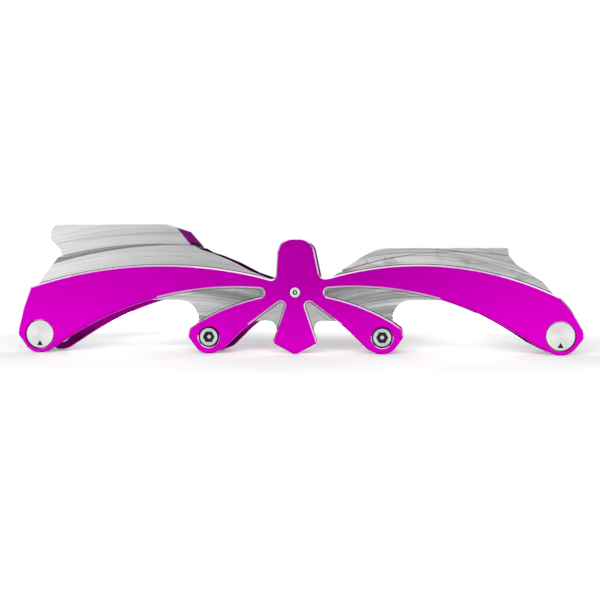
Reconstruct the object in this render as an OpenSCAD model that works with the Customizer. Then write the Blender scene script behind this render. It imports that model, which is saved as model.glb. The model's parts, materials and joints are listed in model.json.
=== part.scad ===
// Inline skate frame for four wheels: two walls, two side plates, two boot mount blocks and their axles.
// Millimetres. X runs forward, Y to the left, Z up. The floor is at Z = 0 and the frame's middle at X = 0.

/* [Wheelbase] */
// Largest wheel the frame takes
wheel_d = 80; // [76:1:84]
// Space between neighbouring wheels of that size
wheel_space = 1; // [0.6:0.1:3]
// Radius of the two middle axle bosses, which is their axle height above the floor
mid_boss_r = 7.8; // [7.4:0.1:8.4]
// How far a rocker seat lies above the middle axles
rocker_offset = 1; // [0.6:0.1:1.2]
// How far the plate ends reach past the outer axles
nose_reach = 10.7; // [9.8:0.1:12]

/* [Width] */
// Clear width between the two walls
channel_w = 29.2; // [28:0.2:32]
// Thickness of a wall under its side plate
wall_t = 2.6; // [2.4:0.1:3.2]
// Thickness of a side plate
plate_t = 1.8; // [1.6:0.1:2.4]
// Space between the axle seats, which holds a wheel hub
wheel_gap = 24.2; // [24:0.1:25]
// Height of the machined field beside the plates, measured from the wall face
field_h = 1; // [0.8:0.1:1.3]
// Width of one machined step in the fields
step_w = 1.7; // [1.2:0.1:2.2]

/* [Profile] */
// Height of the two arched beams at their crests
beam_top = 41.4; // [40:0.2:43]
// Height of the hub screw
hub_z = 28.6; // [28:0.1:29.4]
// Height of the plain fin over the hub
fin_top = 53.8; // [50:0.2:56]
// Top of the two windows between beam and middle axle
window_top = 25.1; // [24:0.1:26]
// Top of the two arches beside the centre strut
arch_top = 15.3; // [14:0.1:16.5]
// How much the left fin is slimmer than the right one, on each edge
fin_slim = 1.6; // [0:0.1:2]

/* [Boot mounts] */
// Distance between the two boot bolts
mount_spacing = 165; // [162:0.5:168]
// Height of the rear mounting face
rear_deck_top = 60.8; // [59:0.2:63]
// Height of the front mounting face
front_deck_top = 49.2; // [48.6:0.2:51]
// Thickness of the rear deck
rear_deck_t = 8; // [7:0.2:9]
// Thickness of the front deck
front_deck_t = 6; // [5.4:0.2:7]
// Diameter of the boot bolt holes
mount_hole_d = 8.4; // [8.2:0.1:9]
// How far the front bolt hole is drawn out sideways
front_slot_l = 6; // [4:0.5:8]
// Width of the mount blocks over the walls
block_w = 37; // [36.4:0.2:37.6]
// Thickness of a block cheek inside the wall
cheek_t = 5.6; // [5:0.2:6]
// Shank diameter of the block screws
block_screw_d = 3; // [3:0.5:4]

/* [Axles] */
// Axle diameter in the wheel bearings
axle_d = 8; // [7.6:0.1:8]
// Diameter of the rocker axle discs
rocker_disc_d = 13.4; // [12.8:0.1:13.8]
// Diameter of the rocker journals in the walls
rocker_journal_d = 11; // [10.8:0.1:11.4]
// Diameter of the middle axle heads
mid_head_d = 9.2; // [8.8:0.1:9.6]
// Thread diameter of the axle screws
axle_screw_d = 5; // [4:0.5:5]
// Width across flats of the axle sockets
axle_socket_af = 4; // [3:0.5:4]
// Depth of the axle sockets
axle_socket_depth = 1.1; // [0.8:0.1:1.2]
// How far the disc and head faces lie below the plate face
head_sink = 0.25; // [0.1:0.05:0.4]

/* [Hub] */
// Outer diameter of the brace tube
brace_d = 9; // [8:0.2:10]
// Head diameter of the hub screws
hub_head_d = 5.3; // [5:0.1:6]
// Thread diameter of the hub screws
hub_screw_d = 3; // [2.5:0.5:3.5]

/* [Fits] */
// Radial clearance of a running journal or a screw in its hole
run_gap = 0.05; // [0.03:0.01:0.08]
// Radial clearance of a head in its plate hole
head_gap = 0.1; // [0.05:0.05:0.2]
// Gap around a rocker disc in its plate hole
disc_gap = 0.3; // [0.2:0.05:0.4]
// Gap between a plate edge and the machined field
edge_gap = 0.24; // [0.1:0.02:0.3]
// Gap between the wall tops and the mount blocks
seam_gap = 0.1; // [0.08:0.02:0.2]
// Width of the cove along the top of the walls at the rear end
cove_w = 3.6; // [2:0.2:4]
// Depth of that cove
cove_t = 1.2; // [0.8:0.1:1.4]
// Width of the line groove on the rear mount block
groove_w = 0.45; // [0.3:0.05:0.8]
// Depth of that groove
groove_t = 0.6; // [0.3:0.1:0.8]
// Free space around the wheels
wheel_gap_r = 2; // [1.5:0.1:2.5]

/* [Hidden] */
$fn = 128;
wall_in = channel_w / 2;
wall_out = wall_in + wall_t;
plate_out = wall_out + plate_t;
seat_y = wheel_gap / 2;
axle_pitch = wheel_d + wheel_space;
outer_x = 1.5 * axle_pitch;
mid_x = 0.5 * axle_pitch;
mid_z = mid_boss_r;
outer_z = mid_z + rocker_offset;
wheel_r = wheel_d / 2 + wheel_gap_r;
rear_bolt_x = -mount_spacing / 2;
front_bolt_x = mount_spacing / 2;
rear_outer = [-outer_x, outer_z];
front_outer = [outer_x, outer_z];
rear_mid = [-mid_x, mid_z];
front_mid = [mid_x, mid_z];
hub = [0, hub_z];
head_face = plate_out - head_sink;
cheek_in = wall_in - cheek_t;
lip_in = wall_in - 1.1;

// Circle through three points, as [x, z, radius]
function circle_by(a, b, c) =
  let (d = 2 * (a[0] * (b[1] - c[1]) + b[0] * (c[1] - a[1]) + c[0] * (a[1] - b[1])))
  let (qa = a * a)
  let (qb = b * b)
  let (qc = c * c)
  let (x = (qa * (b[1] - c[1]) + qb * (c[1] - a[1]) + qc * (a[1] - b[1])) / d)
  let (z = (qa * (c[0] - b[0]) + qb * (a[0] - c[0]) + qc * (b[0] - a[0])) / d)
  [x, z, norm([a[0] - x, a[1] - z])];
// Height of an upward arc at x, and the arc as points from x0 to x1
function arc_z(k, x) = k[1] + sqrt(k[2] * k[2] - (x - k[0]) * (x - k[0]));
function arc_pts(k, x0, x1, n) =
  [for (i = [0:n]) let (x = x0 + (x1 - x0) * i / n) [x, arc_z(k, x), 0]];
// Where an upward arc passes height z, on the left or right of its crest
function arc_x(k, z, side) = k[0] + side * sqrt(k[2] * k[2] - (z - k[1]) * (z - k[1]));
function lifted(k, d) = [k[0], k[1], k[2] + d];
function flipped(k) = [-k[0], k[1], k[2]];
// Point on a circle at an angle, and points around a circle
function rim(c, r, a) = [c[0] + r * cos(a), c[1] + r * sin(a), 0];
function rim_pts(c, r, a0, a1, n) = [for (i = [0:n]) rim(c, r, a0 + (a1 - a0) * i / n)];
// Crossing of the lines through p, q and r, s
function crossing(p, q, r, s) =
  let (u = q - p)
  let (v = s - r)
  let (t = ((r[0] - p[0]) * v[1] - (r[1] - p[1]) * v[0]) / (u[0] * v[1] - u[1] * v[0]))
  p + t * u;
// Point at height z on the line through p and q
function at_z(p, q, z) = [p[0] + (q[0] - p[0]) * (z - p[1]) / (q[1] - p[1]), z];
// Corner b between a and c, rounded with radius r
function corner(a, b, c, r) =
  let (u = ([a[0], a[1]] - [b[0], b[1]]) / norm([a[0] - b[0], a[1] - b[1]]))
  let (v = ([c[0], c[1]] - [b[0], b[1]]) / norm([c[0] - b[0], c[1] - b[1]]))
  let (half = acos(u * v) / 2)
  let (m = (u + v) / norm(u + v))
  let (o = [b[0], b[1]] + m * r / sin(half))
  let (p = u / tan(half) * r + [b[0], b[1]] - o)
  let (q = v / tan(half) * r + [b[0], b[1]] - o)
  let (a0 = atan2(p[1], p[0]))
  let (turn = atan2(p[0] * q[1] - p[1] * q[0], p * q))
  let (n = r < 2 ? 4 : 10)
  [for (i = [0:n]) [o[0] + r * cos(a0 + turn * i / n), o[1] + r * sin(a0 + turn * i / n)]];
// Outline whose points are [x, z, corner radius]
function rounded(p) =
  let (n = len(p))
  [for (i = [0:n - 1])
    let (b = p[i])
    for (q = b[2] > 0 ? corner(p[(i + n - 1) % n], b, p[(i + 1) % n], b[2]) : [[b[0], b[1]]]) q];
function mirrored(p) = [for (i = [len(p) - 1:-1:0]) [-p[i][0], p[i][1], p[i][2]]];
function with_r(p, r) = [p[0], p[1], r];

// Edges of the beams, arms and seams, each an arc through three places
rear_tip = [-outer_x - 4.6, outer_z + 22.3];
front_tip = [outer_x - 0.3, outer_z + 17.7];
rear_top = circle_by(rear_tip, [-mid_x - 24.5, beam_top], [-12, hub_z + 6.3]);
front_top = circle_by([16.3, hub_z + 7], [mid_x + 12.5, beam_top], front_tip);
rear_low = circle_by([-20, hub_z + 2.1], [-outer_x + 44.5, outer_z + 13.6], [-outer_x + 9.1, outer_z - 4.5]);
front_low = circle_by([20, hub_z + 2.4], [mid_x + 25.5, outer_z + 17], [outer_x - 11.5, outer_z - 4.1]);
front_arm = circle_by([17.2, hub_z - 2.5], [mid_x - 9.1, mid_z + 13.9], [mid_x + 5, mid_z + 6.9]);
rear_arm = flipped(front_arm);
rear_seam_z = beam_top + 9.5;
front_seam_z = front_deck_top - 2.2;
rear_seam = circle_by(
  [-outer_x + 8.9, rear_seam_z - 5.6],
  [-mid_x - 34.5, rear_seam_z],
  [-mid_x - 10.3, rear_seam_z - 0.1]
);
front_seam = circle_by([21, hub_z + 9.5], [mid_x + 24.1, front_seam_z], [outer_x - 25, front_seam_z - 1.4]);

// Lower edges that mirror from front to rear: strut, arch, arm and middle boss
strut_in = [4.4, hub_z - 5.6];
strut_out = [10.5, 5.2];
arm_in = [10.5, hub_z - 6.7];
arm_bend = [mid_x - 16.6, mid_z + 4.1];
arm_heel = [mid_x - 6.8, mid_z - 5.5];
v_apex = crossing(strut_in, strut_out, arm_in, arm_bend);
boss_front = concat(
  [with_r(arm_bend, 40), with_r(arm_heel, 2)],
  rim_pts(front_mid, mid_boss_r, 250, 270, 4),
  rim_pts(front_mid, mid_boss_r, 278, 323, 6),
  [[mid_x + 11.4, mid_z + 2.3, 4]]
);
// The strut stands on the floor on the right side, and stops at the arch on the left
strut_top = at_z(strut_in, strut_out, arch_top);
function arch_front(long) = concat(
  long ? [with_r(strut_out, 2), with_r(strut_top, 4)] : [],
  [with_r(at_z(arm_in, arm_bend, arch_top), 0)],
  boss_front,
  [[mid_x + 5, arc_z(front_arm, mid_x + 5), 0]]
);
function arm_front(long) = concat(
  long ? [with_r(strut_out, 2)] : [with_r(strut_top, 0.8)],
  [with_r(v_apex, 1.9)],
  boss_front
);
foot_r = 3;
foot_drop = foot_r / sin(atan2(strut_out[0], strut_out[1])) - foot_r;
function foot_pts(long) = long ? [[0, -foot_drop, foot_r]] : [];
// Ends of the plates around the outer axles
rear_nose = [-outer_x - nose_reach + 4.5, outer_z + 1.5];
front_nose = [outer_x + nose_reach - 4.5, outer_z + 0.8];
front_end_pts = concat(
  rim_pts(front_outer, outer_z, 243, 270, 4),
  rim_pts(front_outer, outer_z, 277, 319, 6),
  rim_pts(front_nose, 4.5, -41, 29, 8),
  [[outer_x + 4.9, outer_z + 12.3, 30], with_r(front_tip, 0.8)]
);
rear_end_pts = concat(
  [with_r(rear_tip, 0.8), [-outer_x - 8.3, outer_z + 12.2, 40]],
  rim_pts(rear_nose, 4.5, 167, 225, 8),
  rim_pts(rear_outer, outer_z, 225, 263, 6),
  rim_pts(rear_outer, outer_z, 270, 296, 4)
);
// Plain fin between the two beams
function fin_pts(slim) = [
  [11.8 - slim, hub_z + 6.3, 3],
  [7.8 - slim, fin_top, 7 - slim],
  [slim - 7.8, fin_top, 7 - slim],
  [slim - 9, hub_z + 5.3, 2.4]
];
// Rounded end of the gap between a beam and an arm
rear_gap_x = -16.6;
front_gap_x = 15.8;
function gap_r(low, arm, x) = (arc_z(low, x) - arc_z(arm, x)) / 2;
function gap_o(low, arm, x) = [x, (arc_z(low, x) + arc_z(arm, x)) / 2];
rear_low_x = arc_x(rear_low, window_top, -1);
front_low_x = arc_x(front_low, window_top, 1);
function wall_pts(long, slim) = concat(
  mirrored(arch_front(long)),
  foot_pts(long),
  arch_front(long),
  [[mid_x + 4.6, window_top, 8]],
  arc_pts(front_low, front_low_x, outer_x - 11.5, 14),
  front_end_pts,
  [[outer_x - 3, arc_z(front_top, outer_x - 3), 0],
   [outer_x - 8.5, outer_z + 25.1, 2],
   [outer_x - 20, front_seam_z - 5.4, 3],
   [outer_x - 23, arc_z(front_seam, outer_x - 23), 0.6]],
  arc_pts(front_seam, outer_x - 24, 21, 20),
  [[16, hub_z + 6.6, 2]],
  fin_pts(slim),
  [[-21, hub_z + 10, 0],
   [-30.4, hub_z + 14.9, 0],
   [-38.9, hub_z + 18.4, 0],
   [-mid_x - 3.6, hub_z + 20, 4],
   [-mid_x - 7, arc_z(rear_seam, -mid_x - 7), 0.6]],
  arc_pts(rear_seam, -mid_x - 8.2, -outer_x + 9.4, 20),
  [[-outer_x + 8.4, arc_z(rear_seam, -outer_x + 8.4), 0.6],
   [-outer_x + 2.1, outer_z + 27.5, 0],
   [-outer_x - 0.9, arc_z(rear_top, -outer_x - 0.9), 0]],
  rear_end_pts,
  arc_pts(rear_low, -outer_x + 9.1, rear_low_x, 14),
  [[-mid_x - 4.6, window_top, window_top - mid_z - 8]]
);
function plate_pts(long, slim) = concat(
  arc_pts(rear_arm, rear_gap_x, -mid_x - 5, 12),
  mirrored(arm_front(long)),
  foot_pts(long),
  arm_front(long),
  arc_pts(front_arm, mid_x + 5, front_gap_x, 12),
  rim_pts(gap_o(front_low, front_arm, front_gap_x), gap_r(front_low, front_arm, front_gap_x), 250, 110, 8),
  arc_pts(front_low, front_gap_x + 1, outer_x - 11.5, 26),
  front_end_pts,
  arc_pts(front_top, outer_x - 4.5, 16.3, 24),
  fin_pts(slim),
  arc_pts(rear_top, -17, -outer_x - 0.9, 24),
  rear_end_pts,
  arc_pts(rear_low, -outer_x + 9.1, rear_gap_x - 1, 26),
  rim_pts(gap_o(rear_low, rear_arm, rear_gap_x), gap_r(rear_low, rear_arm, rear_gap_x), 70, -70, 8)
);
// Machined fields beside the plate, each drawn inward by inset from the plate edges
function rear_top_field(inset) = concat(
  arc_pts(lifted(rear_top, inset), -12, -outer_x - 8, 24),
  [[-outer_x - 8, rear_deck_top, 0], [-12, rear_deck_top, 0]]
);
function front_top_field(inset) = concat(
  arc_pts(lifted(front_top, inset), outer_x + 4, 14, 24),
  [[14, rear_deck_top, 0], [outer_x + 4, rear_deck_top, 0]]
);
function web_field(low, arm, end_x, far_x, inset) =
  let (side = sign(end_x))
  let (x = end_x + side * 5 * inset)
  let (l = lifted(low, -inset))
  let (m = lifted(arm, inset))
  concat(
    arc_pts(l, x, far_x, 16),
    [[far_x, window_top - 7, 0], [side * (mid_x + 9), window_top - 7, 0]],
    arc_pts(m, side * (mid_x + 7), x, 12),
    rim_pts(gap_o(l, m, x), gap_r(l, m, x), -90 - side * 20, -90 - side * 160, 6)
  );
v_strut = strut_out - strut_in;
v_arm = arm_bend - arm_in;
v_base = arch_top - 4;
function v_field(inset) =
  let (n = [-v_strut[1], v_strut[0]] / norm(v_strut) * inset)
  let (m = [v_arm[1], -v_arm[0]] / norm(v_arm) * inset)
  let (apex = crossing(strut_in + n, strut_out + n, arm_in + m, arm_bend + m))
  [with_r(apex, 1.6),
   with_r(at_z(strut_in + n, strut_out + n, v_base), 0),
   with_r(at_z(arm_in + m, arm_bend + m, v_base), 0)];

// Flat outline in X and Z, drawn out from y0 to y1
module across(y0, y1) {
  translate([0, y1, 0])
    rotate([90, 0, 0])
      linear_extrude(y1 - y0)
        children();
}
// Round bar along Y at [x, z]
module bar(c, y0, y1, r0, r1) {
  translate([c[0], y0, c[1]])
    rotate([-90, 0, 0])
      cylinder(h = y1 - y0, r1 = r0, r2 = r1);
}
// Six-sided hole along Y at [x, z]
module hex_hole(c, y0, y1, af) {
  translate([c[0], y0, c[1]])
    rotate([-90, 0, 0])
      cylinder(h = y1 - y0, r = af / sqrt(3), $fn = 6);
}
module disc(k, grow) {
  translate([k[0], k[1]])
    circle(k[2] + grow);
}

module outline(p) {
  polygon(rounded(p));
}
module top_fields(inset) {
  outline(rear_top_field(inset));
  outline(front_top_field(inset));
}
module web_fields(inset) {
  outline(web_field(rear_low, rear_arm, rear_gap_x, rear_low_x - 3, inset));
  outline(web_field(front_low, front_arm, front_gap_x, front_low_x + 3, inset));
}
module v_fields(inset) {
  outline(v_field(inset));
  mirror([1, 0])
    outline(v_field(inset));
}

// Cove under the rear mount block, widest at the rear end, as the space outside a cone
cove_low = circle_by(
  [-outer_x + 8.9, rear_seam_z - 5.6 - cove_w],
  [-mid_x - 34.5, rear_seam_z - 0.55 * cove_w],
  [-mid_x - 10.3, rear_seam_z - 0.1 - 0.25 * cove_w]
);
module wall_cove() {
  face = wall_out + field_h;
  difference() {
    across(face - cove_t, face + 0.5)
      translate([-outer_x, rear_seam_z - 16])
        square([axle_pitch - 4, 24]);
    bar(cove_low, face - cove_t, face + 0.5, cove_low[2] + cove_w, cove_low[2] - 0.5 * cove_w / cove_t);
  }
}
// Wall on the left side: a slab cut down where the plate lies, with stepped fields beside it
module wall_blank(long, slim) {
  face = wall_out + field_h;
  drop = field_h / 3;
  difference() {
    union() {
      across(wall_in, face)
        outline(wall_pts(long, slim));
      for (c = [rear_mid, front_mid])
        bar(c, seat_y, wall_in + 0.5, 5.8, 7.2);
    }
    across(wall_out, face + 1)
      difference() {
        translate([-2 * outer_x, -5])
          square([4 * outer_x, rear_deck_top + 20]);
        top_fields(edge_gap);
        web_fields(edge_gap);
        v_fields(edge_gap);
      }
    for (i = [1:3])
      across(face - i * drop, face + 1)
        web_fields(edge_gap + i * step_w);
    across(face - drop, face + 1) {
      top_fields(edge_gap + 2.4 * step_w);
      v_fields(edge_gap + step_w);
    }
    for (c = [rear_outer, front_outer])
      bar(c, wall_in - 1, face + 1, rocker_journal_d / 2 + run_gap, rocker_journal_d / 2 + run_gap);
    for (c = [rear_mid, front_mid])
      bar(c, seat_y - 1, face + 1, axle_d / 2 + run_gap, axle_d / 2 + run_gap);
    bar(hub, wall_in - 1, face + 1, hub_screw_d / 2 + head_gap, hub_screw_d / 2 + head_gap);
    block_screw_holes();
    wall_cove();
  }
}
module left_wall() {
  color("silver")
    wall_blank(false, fin_slim);
}
module right_wall() {
  color("silver")
    mirror([0, 1, 0])
      wall_blank(true, 0);
}

// Side plate on the left, with chamfered holes for the discs and heads
module plate_blank(long, slim) {
  disc_r = rocker_disc_d / 2 + disc_gap;
  head_r = mid_head_d / 2 + head_gap;
  hub_r = hub_head_d / 2 + head_gap;
  difference() {
    across(wall_out, plate_out)
      outline(plate_pts(long, slim));
    for (c = [rear_outer, front_outer])
      bar(c, wall_out - 1, plate_out + 1, disc_r, disc_r);
    for (c = [rear_mid, front_mid])
      bar(c, wall_out - 1, plate_out + 1, head_r, head_r);
    for (c = [rear_mid, front_mid])
      bar(c, plate_out - 0.5, plate_out + 0.1, head_r, head_r + 0.6);
    bar(hub, wall_out - 1, plate_out + 1, hub_screw_d / 2 + head_gap, hub_screw_d / 2 + head_gap);
    bar(hub, wall_out + 0.5, plate_out + 1, hub_r, hub_r);
  }
}
module left_side_plate() {
  color("magenta")
    plate_blank(false, fin_slim);
}
module right_side_plate() {
  color("magenta")
    mirror([0, 1, 0])
      plate_blank(true, 0);
}

// Mount blocks: a deck over lips that follow the wall tops, and cheeks inside the walls
rear_lip = lifted(rear_seam, seam_gap);
front_lip = lifted(front_seam, seam_gap);
rear_back = rear_bolt_x - 28.6;
rear_fore = rear_bolt_x + 33.8;
rear_back_z = arc_z(rear_lip, rear_back);
rear_back_h = rear_deck_top - rear_back_z;
rear_block_pts = concat(
  [[rear_back - 0.3, rear_back_z + 0.2 * rear_back_h, 0.8],
   [rear_back - 5.3, rear_back_z + 0.53 * rear_back_h, 0.14 * rear_back_h],
   [rear_back - 4.7, rear_deck_top, 0.34 * rear_back_h],
   [rear_bolt_x + 21.5, rear_deck_top, 1.2],
   [rear_bolt_x + 26.6, rear_deck_top - 1.9, 1.2],
   [rear_fore, arc_z(rear_lip, rear_fore), 0.4]],
  arc_pts(rear_lip, rear_fore - 1, rear_back + 1, 20),
  [[rear_back, rear_back_z, 0.4]]
);
front_end = front_bolt_x + 15.8;
front_block_pts = concat(
  [[22, arc_z(front_lip, 22), 0],
   [22, hub_z + 10.7, 0.2],
   [37.4, front_deck_top, 22],
   [front_end - 0.6, front_deck_top, 0.8],
   [front_end, arc_z(front_lip, front_end), 0.4]],
  arc_pts(front_lip, front_end - 1, 23, 20)
);
module wheel_discs() {
  for (c = [rear_outer, rear_mid, front_mid, front_outer])
    translate(c)
      circle(wheel_r);
}
module cheek_flat(x, low, high) {
  difference() {
    translate([x - 24, low])
      square([48, high - low]);
    wheel_discs();
  }
}
rear_pocket_x = -mid_x - axle_pitch / 2;
front_pocket_x = mid_x + axle_pitch / 2;
rear_screw_z = hub_z + 7.4;
front_screw_z = hub_z + 5.9;
screw_dx = 4.2;
function screw_places(x, z) = [[x - screw_dx, z], [x + screw_dx, z]];
block_screw_r = block_screw_d / 2;
block_screw_end = cheek_in + 0.8;
// Countersunk seats and holes for the block screws, on the left side
module block_screw_holes() {
  for (c = concat(screw_places(rear_pocket_x, rear_screw_z), screw_places(front_pocket_x, front_screw_z))) {
    bar(c, cheek_in - 1, wall_out + 1, block_screw_r + run_gap, block_screw_r + run_gap);
    bar(c, wall_out - 1.8, wall_out + 0.1, block_screw_r, block_screw_r + 1.9);
  }
}
module block_screws(x, z) {
  for (c = screw_places(x, z))
    difference() {
      union() {
        bar(c, block_screw_end, wall_out - 0.1, block_screw_r, block_screw_r);
        bar(c, wall_out - 1.6, wall_out - 0.1, block_screw_r, block_screw_r + 1.5);
      }
      hex_hole(c, wall_out - 1.2, wall_out + 1, 0.66 * block_screw_d);
    }
}
module rear_block_screws() {
  color("dimgray") {
    block_screws(rear_pocket_x, rear_screw_z);
    mirror([0, 1, 0])
      block_screws(rear_pocket_x, rear_screw_z);
  }
}
module front_block_screws() {
  color("dimgray") {
    block_screws(front_pocket_x, front_screw_z);
    mirror([0, 1, 0])
      block_screws(front_pocket_x, front_screw_z);
  }
}
module rear_mount_block() {
  under = rear_deck_top - rear_deck_t;
  cheek_top = max(under + 0.5, rear_seam_z + 1.5);
  groove = circle_by([-outer_x + 10, under - 0.6], [-mid_x - 40, under + 3.2], [-mid_x - 14, under + 3.7]);
  color("silver")
    difference() {
      union() {
        difference() {
          across(-block_w / 2, block_w / 2)
            polygon(rounded(rear_block_pts));
          across(-lip_in, lip_in)
            translate([-2 * outer_x, 0])
              square([4 * outer_x, under]);
          across(-lip_in, lip_in)
            wheel_discs();
        }
        for (side = [0, 1])
          mirror([0, side, 0])
            across(cheek_in, wall_in)
              cheek_flat(rear_pocket_x, rear_screw_z - 5.4, cheek_top);
      }
      for (side = [0, 1])
        mirror([0, side, 0]) {
          across(block_w / 2 - groove_t, block_w / 2 + 1)
            difference() {
              disc(groove, 0);
              disc(groove, -groove_w);
            }
          block_screw_holes();
        }
      translate([rear_bolt_x, 0, under - 1])
        cylinder(h = rear_deck_t + 2, d = mount_hole_d);
    }
}
module front_mount_block() {
  under = front_deck_top - front_deck_t;
  color("silver")
    difference() {
      union() {
        difference() {
          across(-block_w / 2, block_w / 2)
            polygon(rounded(front_block_pts));
          across(-lip_in, lip_in)
            translate([-outer_x, 0])
              square([3 * outer_x, under]);
          across(-lip_in, lip_in)
            wheel_discs();
        }
        difference() {
          across(-lip_in - 0.5, lip_in + 0.5)
            translate([front_pocket_x - 24, under])
              square([front_end - front_pocket_x + 24, front_deck_t - 1]);
          across(-wall_in, wall_in)
            wheel_discs();
        }
        for (side = [0, 1])
          mirror([0, side, 0])
            across(cheek_in, wall_in)
              cheek_flat(front_pocket_x, front_screw_z - 5.4, under + 0.5);
      }
      for (side = [0, 1])
        mirror([0, side, 0])
          block_screw_holes();
      for (side = [-1, 1])
        translate([front_bolt_x, side * front_slot_l / 2, under - 1])
          cylinder(h = front_deck_t + 2, d = mount_hole_d);
      translate([front_bolt_x - mount_hole_d / 2, -front_slot_l / 2, under - 1])
        cube([mount_hole_d, front_slot_l, front_deck_t + 2]);
    }
}

// Brace tube between the walls, with a screw from each side
module hub_brace() {
  color("gray")
    difference() {
      bar(hub, -wall_in, wall_in, brace_d / 2, brace_d / 2);
      bar(hub, -wall_in - 1, wall_in + 1, hub_screw_d / 2 + run_gap, hub_screw_d / 2 + run_gap);
    }
}
module hub_screw() {
  color("lightgray")
    difference() {
      union() {
        bar(hub, wall_in - 8, head_face - 0.5, hub_screw_d / 2, hub_screw_d / 2);
        bar(hub, wall_out + 0.5, head_face, hub_head_d / 2, hub_head_d / 2);
      }
      hex_hole(hub, head_face - 0.8, head_face + 1, 2);
    }
}
module left_hub_screw() {
  hub_screw();
}
module right_hub_screw() {
  mirror([0, 1, 0])
    hub_screw();
}

// Rocker axle: disc and journal turn about the seat, with the axle itself set below their centre
axle_end = wall_in + 0.5;
flat_z = axle_d / 2 - 0.7;
module key_end(c, y0, y1, r, flat) {
  intersection() {
    bar(c, y0, y1, r, r);
    translate([c[0] - 2 * r, y0 - 1, c[1] - 2 * r])
      cube([4 * r, y1 - y0 + 2, 2 * r + flat]);
  }
}
module rocker_axle(seat) {
  axle = seat - [0, rocker_offset];
  color("gainsboro")
    difference() {
      union() {
        bar(seat, -head_face, -wall_out, rocker_disc_d / 2, rocker_disc_d / 2);
        bar(seat, -wall_out - 0.5, -seat_y, rocker_journal_d / 2, rocker_journal_d / 2);
        bar(axle, -seat_y - 0.5, seat_y - 0.3, axle_d / 2, axle_d / 2);
        key_end(axle, seat_y - 0.8, axle_end, axle_d / 2, flat_z);
      }
      bar(axle, axle_end - 13, axle_end + 1, axle_screw_d / 2 + run_gap, axle_screw_d / 2 + run_gap);
      translate([seat[0], -head_face - 1, seat[1] - rocker_disc_d * 0.34])
        rotate([-90, -90, 0])
          cylinder(h = 1.35, r = rocker_disc_d / 8, $fn = 3);
    }
}
module rocker_collar(seat) {
  axle = seat - [0, rocker_offset];
  head_r = axle_screw_d * 0.85 + head_gap;
  color("gainsboro")
    difference() {
      union() {
        bar(seat, wall_out, head_face, rocker_disc_d / 2, rocker_disc_d / 2);
        bar(seat, seat_y, wall_out + 0.5, rocker_journal_d / 2, rocker_journal_d / 2);
      }
      key_end(axle, seat_y - 1, axle_end + 0.2, axle_d / 2 + run_gap, flat_z + run_gap);
      bar(axle, seat_y, head_face + 1, axle_screw_d / 2 + head_gap, axle_screw_d / 2 + head_gap);
      bar(axle, head_face - 1.9, head_face + 1, head_r, head_r);
    }
}
// Screw drawn in from the left into an axle end
module axle_screw(axle, seat_face, face, head_r, end_y) {
  color("lightgray")
    difference() {
      union() {
        bar(axle, end_y, face - 0.5, axle_screw_d / 2, axle_screw_d / 2);
        bar(axle, seat_face, face, head_r, head_r);
      }
      hex_hole(axle, face - axle_socket_depth, face + 1, axle_socket_af);
    }
}
module rocker_screw(seat) {
  axle = seat - [0, rocker_offset];
  axle_screw(axle, head_face - 1.9, head_face - 0.1, axle_screw_d * 0.85, axle_end - 12);
}
module rear_rocker_axle() {
  rocker_axle(rear_outer);
}
module rear_rocker_collar() {
  rocker_collar(rear_outer);
}
module rear_rocker_screw() {
  rocker_screw(rear_outer);
}
module front_rocker_axle() {
  rocker_axle(front_outer);
}
module front_rocker_collar() {
  rocker_collar(front_outer);
}
module front_rocker_screw() {
  rocker_screw(front_outer);
}

// Middle axle: a headed barrel from the right, closed by a screw from the left
module mid_axle(axle) {
  color("lightgray")
    difference() {
      union() {
        bar(axle, -head_face, -wall_out, mid_head_d / 2, mid_head_d / 2);
        bar(axle, -wall_out - 0.5, wall_out - 0.4, axle_d / 2, axle_d / 2);
      }
      hex_hole(axle, -head_face - 1, -head_face + axle_socket_depth, axle_socket_af);
      bar(axle, wall_out - 14, wall_out + 1, axle_screw_d / 2 + run_gap, axle_screw_d / 2 + run_gap);
    }
}
module rear_mid_axle() {
  mid_axle(rear_mid);
}
module rear_mid_screw() {
  axle_screw(rear_mid, wall_out, head_face, mid_head_d / 2, wall_out - 12);
}
module front_mid_axle() {
  mid_axle(front_mid);
}
module front_mid_screw() {
  axle_screw(front_mid, wall_out, head_face, mid_head_d / 2, wall_out - 12);
}

right_side_plate();
left_side_plate();
right_wall();
left_wall();
rear_mount_block();
front_mount_block();
rear_block_screws();
front_block_screws();
hub_brace();
right_hub_screw();
left_hub_screw();
rear_rocker_axle();
rear_rocker_collar();
rear_rocker_screw();
front_rocker_axle();
front_rocker_collar();
front_rocker_screw();
rear_mid_axle();
rear_mid_screw();
front_mid_axle();
front_mid_screw();
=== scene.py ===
import json
import math

import bmesh
import bpy
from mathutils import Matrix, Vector


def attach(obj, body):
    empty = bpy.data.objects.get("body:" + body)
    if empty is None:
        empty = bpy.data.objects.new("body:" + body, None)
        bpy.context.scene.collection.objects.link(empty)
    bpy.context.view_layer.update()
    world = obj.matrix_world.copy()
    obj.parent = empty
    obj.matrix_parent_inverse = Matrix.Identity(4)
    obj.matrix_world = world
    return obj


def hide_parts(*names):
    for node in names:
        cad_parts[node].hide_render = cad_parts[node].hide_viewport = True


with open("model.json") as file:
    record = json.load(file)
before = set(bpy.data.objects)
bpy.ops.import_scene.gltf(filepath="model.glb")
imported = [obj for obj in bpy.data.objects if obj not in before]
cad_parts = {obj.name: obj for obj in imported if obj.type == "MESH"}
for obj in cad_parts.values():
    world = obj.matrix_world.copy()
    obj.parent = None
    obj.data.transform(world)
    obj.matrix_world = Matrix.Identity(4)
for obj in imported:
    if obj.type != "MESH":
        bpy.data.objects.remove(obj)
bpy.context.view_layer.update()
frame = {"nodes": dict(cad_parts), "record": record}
scene = bpy.context.scene
scene.view_settings.view_transform = "Standard"
mm = 0.001
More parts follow.
